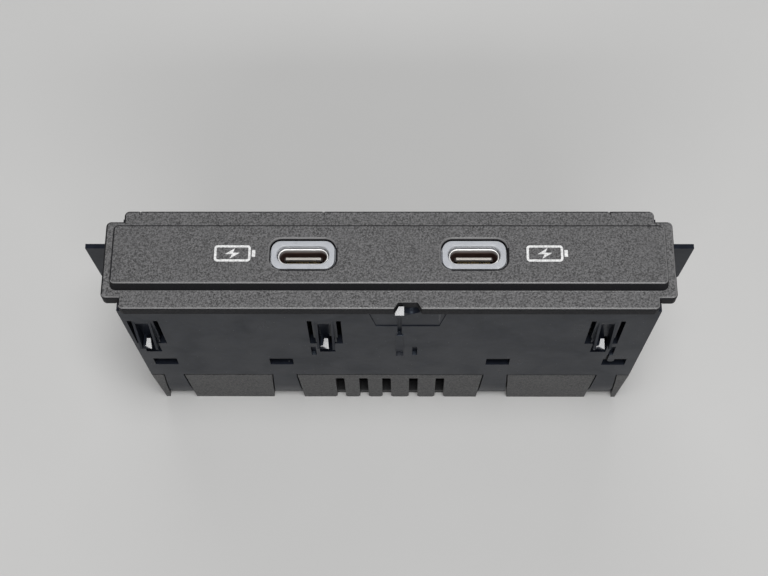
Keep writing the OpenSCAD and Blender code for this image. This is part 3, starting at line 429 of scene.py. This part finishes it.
def printed_ink(name, base):
    """Matt white ink that lets a little of the grain through."""
    material, tree, shader = start_material(name)
    grain = noise(tree, coordinates(tree), INK_GRAIN)
    set_colour(tree, shader, tones(tree, remap(tree, grain, low=0.3, high=0.62), base, dark=0.62, light=1.0))
    set_roughness(tree, shader, grain, first=0.7, last=0.55)
    return material


# Working on pieces

def work_on_nothing():
    """Leaves nothing selected, so that a new primitive is alone."""
    if bpy.context.mode != "OBJECT":
        bpy.ops.object.mode_set(mode="OBJECT")
    bpy.ops.object.select_all(action="DESELECT")


def work_on(piece):
    """Selects one object alone and makes it active."""
    work_on_nothing()
    piece.select_set(True)
    bpy.context.view_layer.objects.active = piece


def apply_modifier(piece, kind, **settings):
    made = piece.modifiers.new(kind.lower(), kind)
    for key, value in settings.items():
        setattr(made, key, value)
    work_on(piece)
    bpy.ops.object.modifier_apply(modifier=made.name)


def paint(piece, material):
    piece.data.materials.clear()
    piece.data.materials.append(material)


def paint_solid(name, material):
    """Gives a CAD solid its finish through its material slots."""
    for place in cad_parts[name].material_slots:
        place.material = material


def rounded_piece(name, radius, material, segments=2, limit=SHARP_ANGLE):
    """Merged copy of a solid with rounded edges, which stands for it. Rounding is done in millimetres."""
    piece = bpy.data.objects.new(f"{name}_finished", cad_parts[name].data.copy())
    bpy.context.scene.collection.objects.link(piece)
    piece.data.transform(Matrix.Scale(MM, 4))
    work_on(piece)
    if piece.data.has_custom_normals:
        bpy.ops.mesh.customdata_custom_splitnormals_clear()
    bpy.ops.object.mode_set(mode="EDIT")
    bpy.ops.mesh.select_all(action="SELECT")
    bpy.ops.mesh.remove_doubles(threshold=MERGE_MM)
    bpy.ops.mesh.dissolve_limited(angle_limit=math.radians(FLAT_ANGLE))
    bpy.ops.mesh.vert_connect_concave()
    bpy.ops.object.mode_set(mode="OBJECT")
    apply_modifier(piece, "BEVEL", width=radius * MM, segments=segments, limit_method="ANGLE",
                   angle_limit=math.radians(limit), use_clamp_overlap=False,
                   miter_outer="MITER_SHARP")
    piece.data.transform(Matrix.Scale(1.0 / MM, 4))
    bpy.ops.object.shade_smooth()
    apply_modifier(piece, "WEIGHTED_NORMAL", mode="FACE_AREA", weight=NORMAL_WEIGHT)
    paint(piece, material)
    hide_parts(name)
    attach(piece, BODY)
    return piece


def finish_settings(context):
    return context.scene.module_finish


# Operators

class ModuleOperator(bpy.types.Operator):
    """Step of the module's dressing."""

    bl_options = {"REGISTER", "UNDO"}


class MODULE_OT_dress_bezel(ModuleOperator):
    """Rounds the bezel's edges and gives it its grained paint, a painted highlight on its front and right
    edges, painted shade on its sides and other edges, and a lighter flange paint as painted light
    """

    bl_idname = "module.dress_bezel"
    bl_label = "Dress bezel"

    def execute(self, context):
        look = finish_settings(context)
        grain = look.bezel_grain
        top = grained_paint("grained_bezel_paint", look.bezel_colour, look.bezel_flake, grain)
        piece = rounded_piece("front_bezel", look.edge, top, limit=BEZEL_SHARP_ANGLE)
        for material in (
                plain_paint("highlit_bezel_paint", look.bezel_highlight, roughness=0.34, level=0.5, grain=grain),
                plain_paint("shaded_bezel_paint", look.bezel_shade, roughness=0.6, level=0.1, grain=grain),
                grained_paint("lit_flange_paint", look.flange_light, look.bezel_flake, grain)):
            piece.data.materials.append(material)
        for face in piece.data.polygons:
            face.material_index = self.paint_of(face)
        return {"FINISHED"}

    def paint_of(self, face):
        """Number of the paint on a face: top 0, painted highlight on front and right edges 1, painted shade
        on the other slopes and sides 2, or lighter flange paint as painted light 3.
        """
        if face.normal.z > FLAT_TOP:
            return 0 if face.center.z > FACE_Z - FLANGE_DROP else 3
        # Edges that lean to the front or right get the painted highlight; all other slopes and sides get the
        # painted shade.
        towards_light = face.normal.y < -HIGHLIGHT_LEAN or face.normal.x > HIGHLIGHT_LEAN
        return 1 if face.normal.z > HIGHLIGHT_TOP and towards_light else 2


class MODULE_OT_dress_housing(ModuleOperator):
    """Rounds the housing's edges and gives it its satin plastic"""

    bl_idname = "module.dress_housing"
    bl_label = "Dress housing"

    def execute(self, context):
        look = finish_settings(context)
        material = moulded_plastic("satin_housing_plastic", look.housing_colour, look.housing_roughness,
                                   dust=0.25, level=0.145, sheen=(0.72, 0.85, 1.0))
        piece = rounded_piece("housing", look.fine_edge, material)
        polished = moulded_plastic("polished_catch_plastic", look.housing_colour, look.polished_roughness,
                                   level=1.0)
        piece.data.materials.append(polished)
        gentle, steep = CATCH_SLOPE
        for face in piece.data.polygons:
            proud = abs(face.center.y) > WALL_Y + SNAP_PROUD or face.center.z > HOUSING_TOP - REST_DROP
            if proud and gentle < face.normal.z < steep:
                face.material_index = 1
        return {"FINISHED"}


class MODULE_OT_dress_cover(ModuleOperator):
    """Rounds the rear cover's edges, gives it its spark texture and paints shade on the faces deep inside it
    """

    bl_idname = "module.dress_cover"
    bl_label = "Dress rear cover"

    def execute(self, context):
        look = finish_settings(context)
        material = spark_plastic("spark_cover_plastic", look.cover_colour, look.cover_grain)
        piece = rounded_piece("rear_cover", look.fine_edge, material)
        inside_shade = spark_plastic("shaded_cover_plastic", look.cover_shade, look.cover_grain)
        piece.data.materials.append(inside_shade)
        # Painted shade: faces well inside the outer wall and above the sole turn near-black.
        for face in piece.data.polygons:
            reach = max(abs(piece.data.vertices[i].co.y) for i in face.vertices)
            if reach < WALL_Y - COVER_WALL and face.center.z > CAD_LOW.z + COVER_SOLE:
                face.material_index = 1
        return {"FINISHED"}


class MODULE_OT_dress_rings(ModuleOperator):
    """Rounds the two pale rings and gives them their milky plastic"""

    bl_idname = "module.dress_rings"
    bl_label = "Dress light rings"

    def execute(self, context):
        look = finish_settings(context)
        material = milky_plastic("milky_ring_plastic", look.ring_colour)
        for side in SIDES:
            rounded_piece(f"{side}_light_ring", look.edge, material, segments=3)
        return {"FINISHED"}


class MODULE_OT_dress_ports(ModuleOperator):
    """Finishes the steel shells, tongues and contacts of both ports, with painted shade inside the shells"""

    bl_idname = "module.dress_ports"
    bl_label = "Dress ports"

    def execute(self, context):
        look = finish_settings(context)
        steel = drawn_metal("drawn_port_steel", look.steel_colour, roughness=0.48)
        insulator = moulded_plastic("port_insulator_plastic", look.insulator_colour, roughness=0.45,
                                    grain=0.0004)
        tongue = drawn_metal("dull_tongue_steel", look.tongue_colour, roughness=0.45)
        gold = drawn_metal("plated_gold", look.gold_colour, roughness=0.28)
        shaded_steel = shaded_metal("shaded_port_steel", look.steel_colour, look.port_shade,
                                    roughness=0.5, rim=port_centre("left").z, depth=SHADE_DEPTH)
        for side in SIDES:
            shell = rounded_piece(f"{side}_port_shell", look.rim_edge, steel, segments=3)
            self.shade_inside(shell, port_centre(side), shaded_steel)
            rounded_piece(f"{side}_tongue_plate", look.fine_edge, tongue)
            rounded_piece(f"{side}_port_insulator", look.fine_edge, insulator)
            paint_solid(f"{side}_port_contacts", gold)
        return {"FINISHED"}

    def shade_inside(self, shell, centre, material):
        """Painted shade: darker steel on the faces below the rim that look into the port."""
        shell.data.materials.append(material)
        for face in shell.data.polygons:
            inward = (centre - face.center).xy.dot(face.normal.xy) > 0.0
            if inward and face.center.z < centre.z - RIM_DROP:
                face.material_index = 1


class MODULE_OT_dress_header(ModuleOperator):
    """Finishes the rear header and its pins"""

    bl_idname = "module.dress_header"
    bl_label = "Dress rear header"

    def execute(self, context):
        look = finish_settings(context)
        shroud = moulded_plastic("header_shroud_plastic", look.chip_colour, roughness=0.42, grain=0.0006)
        pins = drawn_metal("plated_pin_gold", look.gold_colour, roughness=0.3)
        rounded_piece("header_shroud", look.edge, shroud)
        paint_solid("header_pins", pins)
        return {"FINISHED"}


class MODULE_OT_dress_board(ModuleOperator):
    """Finishes the board and the parts that it carries"""

    bl_idname = "module.dress_board"
    bl_label = "Dress board"

    def execute(self, context):
        look = finish_settings(context)
        chips = moulded_plastic("chip_plastic", look.chip_colour, roughness=0.5, grain=0.0002)
        paint_solid("main_board", woven_laminate("board_laminate", look.board_colour))
        for name in ("hub_chip", "power_switches"):
            paint_solid(name, chips)
        coil = spark_plastic("coil_powder", look.coil_colour, grain=0.0002)
        for side in SIDES:
            paint_solid(f"{side}_power_coil", coil)
        cans = drawn_metal("can_aluminium", look.can_colour, roughness=0.32, stretch=(1.0, 0.08, 1.0))
        paint_solid("bulk_capacitors", cans)
        paint_solid("clock_crystal", drawn_metal("crystal_steel", look.steel_colour, roughness=0.3))
        paint_solid("chip_capacitors", spark_plastic("fired_ceramic", look.ceramic_colour, grain=0.00015))
        paint_solid("port_lamps", milky_plastic("lamp_lens", look.lamp_colour))
        return {"FINISHED"}


class MODULE_OT_print_marks(ModuleOperator):
    """Prints a white battery pictogram beside each port"""

    bl_idname = "module.print_marks"
    bl_label = "Print pictograms"

    def execute(self, context):
        mark = context.scene.module_print
        ink = printed_ink("white_print_ink", mark.ink_colour)
        for side, sign in zip(SIDES, (-1.0, 1.0)):
            centre = port_centre(side) + Vector((sign * mark.offset, mark.shift, 0.0))
            piece = self.battery(mark, centre)
            piece.name = f"{side}_printed_mark"
            paint(piece, ink)
            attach(piece, BODY)
        return {"FINISHED"}

    def battery(self, mark, centre):
        """Outline, knob and bolt, joined into one thin film on the face."""
        outline = self.frame_film(mark)
        knob_x = (mark.width + mark.knob + mark.line) / 2
        knob = self.block_film(mark.knob, mark.height * mark.knob_height, knob_x)
        bolt = self.bolt_film(mark)
        work_on(outline)
        for part in (knob, bolt):
            part.select_set(True)
        bpy.ops.object.join()
        self.thicken(outline, mark.film)
        outline.data.transform(Matrix.Scale(1.0 / MM, 4))
        outline.data.transform(Matrix.Translation((centre.x, centre.y, FACE_Z)))
        return outline

    def block_film(self, width, height, x=0.0):
        """Flat sheet of a size, scaled up to millimetres, its middle at a place along the width."""
        work_on_nothing()
        bpy.ops.mesh.primitive_plane_add(size=1.0)
        sheet = bpy.context.object
        bpy.ops.object.mode_set(mode="EDIT")
        bpy.ops.mesh.select_all(action="SELECT")
        bpy.ops.transform.resize(value=(width * MM, height * MM, 1.0))
        bpy.ops.transform.translate(value=(x * MM, 0.0, 0.0))
        bpy.ops.object.mode_set(mode="OBJECT")
        return sheet

    def frame_film(self, mark):
        """Rounded sheet with its middle cut out, a line's width from its edge."""
        sheet = self.block_film(mark.width, mark.height)
        bpy.ops.object.mode_set(mode="EDIT")
        bpy.ops.mesh.select_all(action="SELECT")
        bpy.ops.mesh.bevel(offset=mark.corner * MM, segments=5, affect="VERTICES")
        bpy.ops.mesh.select_all(action="SELECT")
        bpy.ops.mesh.inset(thickness=mark.line * MM, depth=0.0)
        bpy.ops.mesh.delete(type="FACE")
        bpy.ops.object.mode_set(mode="OBJECT")
        return sheet

    def bolt_film(self, mark):
        """Zigzag bolt: a six-sided sheet with its corners drawn out to two points and two inner bends."""
        margin = 1.3 * mark.line
        reach = (mark.height / 2 - margin) * MM
        step = 0.14 * reach
        wide = 1.3 * reach
        lean = 0.35 * wide
        waist = 0.05 * wide
        corners = ((lean, reach), (-wide, -step), (-waist, -step),
                   (-lean, -reach), (wide, step), (waist, step))
        work_on_nothing()
        bpy.ops.mesh.primitive_circle_add(vertices=6, radius=1.0, fill_type="NGON")
        sheet = bpy.context.object
        for vertex, corner in zip(sheet.data.vertices, corners):
            vertex.co = (*corner, 0.0)
        return sheet

    def thicken(self, piece, film):
        """Gives the flat sheets the thickness of the ink, from the face upwards."""
        work_on(piece)
        bpy.ops.object.mode_set(mode="EDIT")
        bpy.ops.mesh.select_all(action="SELECT")
        bpy.ops.mesh.quads_convert_to_tris()
        bpy.ops.mesh.normals_make_consistent(inside=False)
        bpy.ops.mesh.extrude_region_move(TRANSFORM_OT_translate={"value": (0.0, 0.0, film * MM)})
        bpy.ops.mesh.select_all(action="SELECT")
        bpy.ops.mesh.normals_make_consistent(inside=False)
        bpy.ops.object.mode_set(mode="OBJECT")


class MODULE_OT_set_stage(ModuleOperator):
    """Lays the pale floor, hangs the lamps and places the camera"""

    bl_idname = "module.set_stage"
    bl_label = "Set stage"

    def execute(self, context):
        stage = context.scene.module_stage
        self.lay_floor(stage)
        self.light_world(context.scene, stage)
        self.hang_lamp("key_lamp", KEY_PLACE, KEY_SIZE, stage.key_power)
        self.hang_lamp("front_lamp", FRONT_PLACE, FRONT_SIZE, stage.front_power)
        self.hang_lamp("back_lamp", BACK_PLACE, BACK_SIZE, stage.back_power)
        self.place_camera(context.scene, stage)
        context.scene.view_settings.view_transform = "Standard"
        return {"FINISHED"}

    def lay_floor(self, stage):
        work_on_nothing()
        bpy.ops.mesh.primitive_plane_add(size=stage.floor_size, location=(0.0, 0.0, CAD_LOW.z))
        floor = bpy.context.object
        floor.name = "stage_floor"
        material, tree, shader = start_material("plain_floor")
        shader.inputs["Roughness"].default_value = FLOOR_ROUGHNESS
        cloud = noise(tree, coordinates(tree), FLOOR_CLOUD, detail=3.0)
        set_colour(tree, shader, tones(tree, cloud, stage.floor_colour, dark=0.97, light=1.03))
        paint(floor, material)

    def light_world(self, scene, stage):
        world = bpy.data.worlds.new("soft_sky")
        world.use_nodes = True
        sky = world.node_tree.nodes["Background"]
        sky.inputs["Color"].default_value = SKY_COLOUR
        sky.inputs["Strength"].default_value = stage.sky
        scene.world = world

    def hang_lamp(self, name, place, size, power):
        """Soft lamp of a width and a height that faces the module's middle."""
        lamp = bpy.data.lights.new(name, "AREA")
        lamp.shape = "RECTANGLE"
        lamp.size, lamp.size_y = size
        lamp.energy = power
        holder = bpy.data.objects.new(name, lamp)
        holder.location = place
        middle = (CAD_LOW + CAD_HIGH) / 2
        holder.rotation_euler = (middle - holder.location).to_track_quat("-Z", "Y").to_euler()
        bpy.context.scene.collection.objects.link(holder)

    def place_camera(self, scene, stage):
        """Camera turned by pitch, yaw and roll, as the photograph was taken."""
        forward = Vector((math.sin(stage.yaw) * math.cos(stage.pitch),
                          math.cos(stage.yaw) * math.cos(stage.pitch), -math.sin(stage.pitch)))
        right = Vector((math.cos(stage.yaw), -math.sin(stage.yaw), 0.0))
        turned = Matrix.Rotation(stage.roll, 3, -forward)
        right = turned @ right
        up = right.cross(forward)
        lens = bpy.data.cameras.new("photo_camera")
        lens.sensor_width = SENSOR_WIDTH
        lens.lens = stage.focal_pixels * SENSOR_WIDTH / IMAGE_WIDTH
        lens.clip_start = NEAR_CLIP
        camera = bpy.data.objects.new("photo_camera", lens)
        turn = Matrix((right, up, -forward)).transposed()
        place = Matrix.Translation((stage.camera_x, -stage.camera_y, stage.camera_z))
        camera.matrix_world = place @ turn.to_4x4()
        scene.collection.objects.link(camera)
        scene.camera = camera


OPERATORS = (MODULE_OT_dress_bezel, MODULE_OT_dress_housing, MODULE_OT_dress_cover, MODULE_OT_dress_rings,
             MODULE_OT_dress_ports, MODULE_OT_dress_header, MODULE_OT_dress_board, MODULE_OT_print_marks,
             MODULE_OT_set_stage)


class MODULE_PT_sidebar(bpy.types.Panel):
    """Buttons for each step of the dressing"""

    bl_idname = "MODULE_PT_sidebar"
    bl_label = "Port module"
    bl_space_type = "VIEW_3D"
    bl_region_type = "UI"
    bl_category = "Port module"

    def draw(self, context):
        for operator in OPERATORS:
            self.layout.operator(operator.bl_idname)


SETTINGS = {"module_finish": FinishSettings, "module_print": PrintSettings, "module_stage": StageSettings}


def register():
    for group in (*SETTINGS.values(), *OPERATORS, MODULE_PT_sidebar):
        bpy.utils.register_class(group)
    for name, group in SETTINGS.items():
        setattr(bpy.types.Scene, name, bpy.props.PointerProperty(type=group))


def unregister():
    for name in SETTINGS:
        delattr(bpy.types.Scene, name)
    for group in reversed((*SETTINGS.values(), *OPERATORS, MODULE_PT_sidebar)):
        bpy.utils.unregister_class(group)


def main():
    register()
    bpy.ops.module.dress_bezel()
    bpy.ops.module.dress_housing()
    bpy.ops.module.dress_cover()
    bpy.ops.module.dress_rings()
    bpy.ops.module.dress_ports()
    bpy.ops.module.dress_header()
    bpy.ops.module.dress_board()
    bpy.ops.module.print_marks()
    bpy.ops.module.set_stage()


if __name__ == "__main__":
    main()
